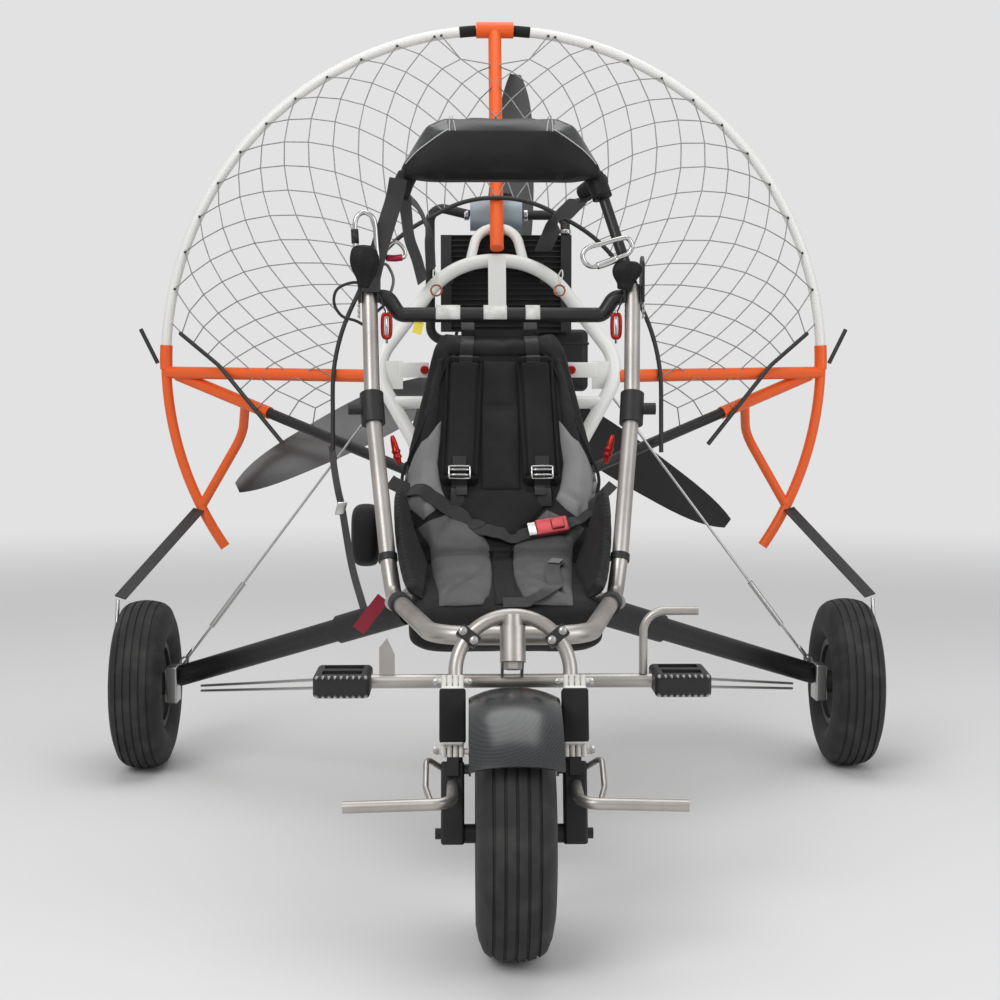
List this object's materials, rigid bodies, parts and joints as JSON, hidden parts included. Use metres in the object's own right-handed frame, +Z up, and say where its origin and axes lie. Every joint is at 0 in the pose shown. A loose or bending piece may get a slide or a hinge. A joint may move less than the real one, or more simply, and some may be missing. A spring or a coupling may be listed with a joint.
{
  "type": "single-seat powered-paraglider trike",
  "caption": "Three-wheeled seat frame for a paraglider wing, with a steerable fork, padded harness seat, liquid-cooled engine and a pusher propeller inside a guard ring.",
  "frame": {"origin": "centre of the footprint on the floor, halfway along the machine's length", "axes": "+X to the pilot's left, +Y towards the propeller at the back, +Z up; the nose wheel is at -Y"},
  "size_m": [1.575, 1.7399, 1.554],
  "materials": {
    "tyre_rubber": "ribbed black tyre rubber",
    "rim_black": "black moulded rim",
    "silver_tube": "brushed silver tube",
    "black_tube": "black anodised tube",
    "white_tube": "white powder coat",
    "orange_tube": "orange powder coat",
    "black_plastic": "matt black moulding",
    "band_white": "white rubber bands in a black sleeve",
    "carbon": "lacquered carbon weave",
    "blade_black": "gloss black composite blade",
    "seat_fabric": "black woven harness cloth",
    "pad_fabric": "grey mesh over foam",
    "webbing": "black webbing",
    "steel": "stainless steel",
    "engine_metal": "cast engine metal",
    "radiator_black": "black finned core",
    "tank_grey": "pale grey-blue plastic",
    "fuel_white": "milky plastic",
    "hose_black": "black rubber hose",
    "exhaust_metal": "heat-proof black paint",
    "engine_block": "black painted engine castings"
  },
  "bodies": {
    "chassis": {"seat_loop": "silver_tube", "side_tubes": "silver_tube", "frame_clamps": "black_plastic", "head_tube": "silver_tube", "crossbar": "silver_tube", "footrests": "black_plastic", "brake_lever": "silver_tube", "base_frame": "silver_tube", "swing_arms": "black_tube", "rear_knuckles": "steel", "hang_plates": "black_tube", "upper_bars": "black_tube", "head_guard": "webbing", "spreader_bar": "black_tube", "engine_hoop": "white_tube", "ring_top": "white_tube", "mast": "orange_tube", "ring_arms": "orange_tube", "ring_struts": "black_tube", "crankcase": "engine_block", "engine_mounts": "engine_metal", "cylinder": "engine_metal", "gearbox": "engine_metal", "radiator": "radiator_black", "coolant_tank": "tank_grey", "coolant_hoses": "hose_black", "exhaust": "exhaust_metal", "airbox": "black_plastic", "fuel_tank": "fuel_white", "seat_pan": "seat_fabric", "seat_back": "seat_fabric", "seat_wings": "pad_fabric", "shoulder_pads": "seat_fabric", "net_arch": "black_tube", "net_battens": "black_tube", "cable_stays": "steel", "axle_links": "steel", "tie_straps": "webbing"},
    "steering": {"fork_arch": "silver_tube", "stop_clamps": "black_plastic", "bungee_packs": "band_white", "fork_sliders": "black_plastic", "foot_bars": "silver_tube", "mudguard": "carbon"},
    "front_wheel": {"front_tyre": "tyre_rubber", "front_rim": "rim_black"},
    "rear_wheel_left": {"rear_left_tyre": "tyre_rubber", "rear_left_rim": "rim_black"},
    "rear_wheel_right": {"rear_right_tyre": "tyre_rubber", "rear_right_rim": "rim_black"},
    "propeller": {"propeller_blades": "blade_black", "propeller_hub": "engine_metal"}
  },
  "joints": [
    {"name": "steering_turn", "type": "hinge", "parent": "chassis", "child": "steering", "pos_m": [0, -0.7, 0.17], "axis": [0, 0.2756, 0.9613], "range_deg": [-20, 20]},
    {"name": "front_wheel_spin", "type": "hinge", "parent": "steering", "child": "front_wheel", "pos_m": [0, -0.7, 0.17], "axis": [1, 0, 0], "continuous": true},
    {"name": "rear_left_spin", "type": "hinge", "parent": "chassis", "child": "rear_wheel_left", "pos_m": [0.714, 0.45, 0.17], "axis": [1, 0, 0], "continuous": true},
    {"name": "rear_right_spin", "type": "hinge", "parent": "chassis", "child": "rear_wheel_right", "pos_m": [-0.714, 0.45, 0.17], "axis": [1, 0, 0], "continuous": true},
    {"name": "propeller_spin", "type": "hinge", "parent": "chassis", "child": "propeller", "pos_m": [0, 0.835, 0.822], "axis": [0, 1, 0], "continuous": true}
  ]
}
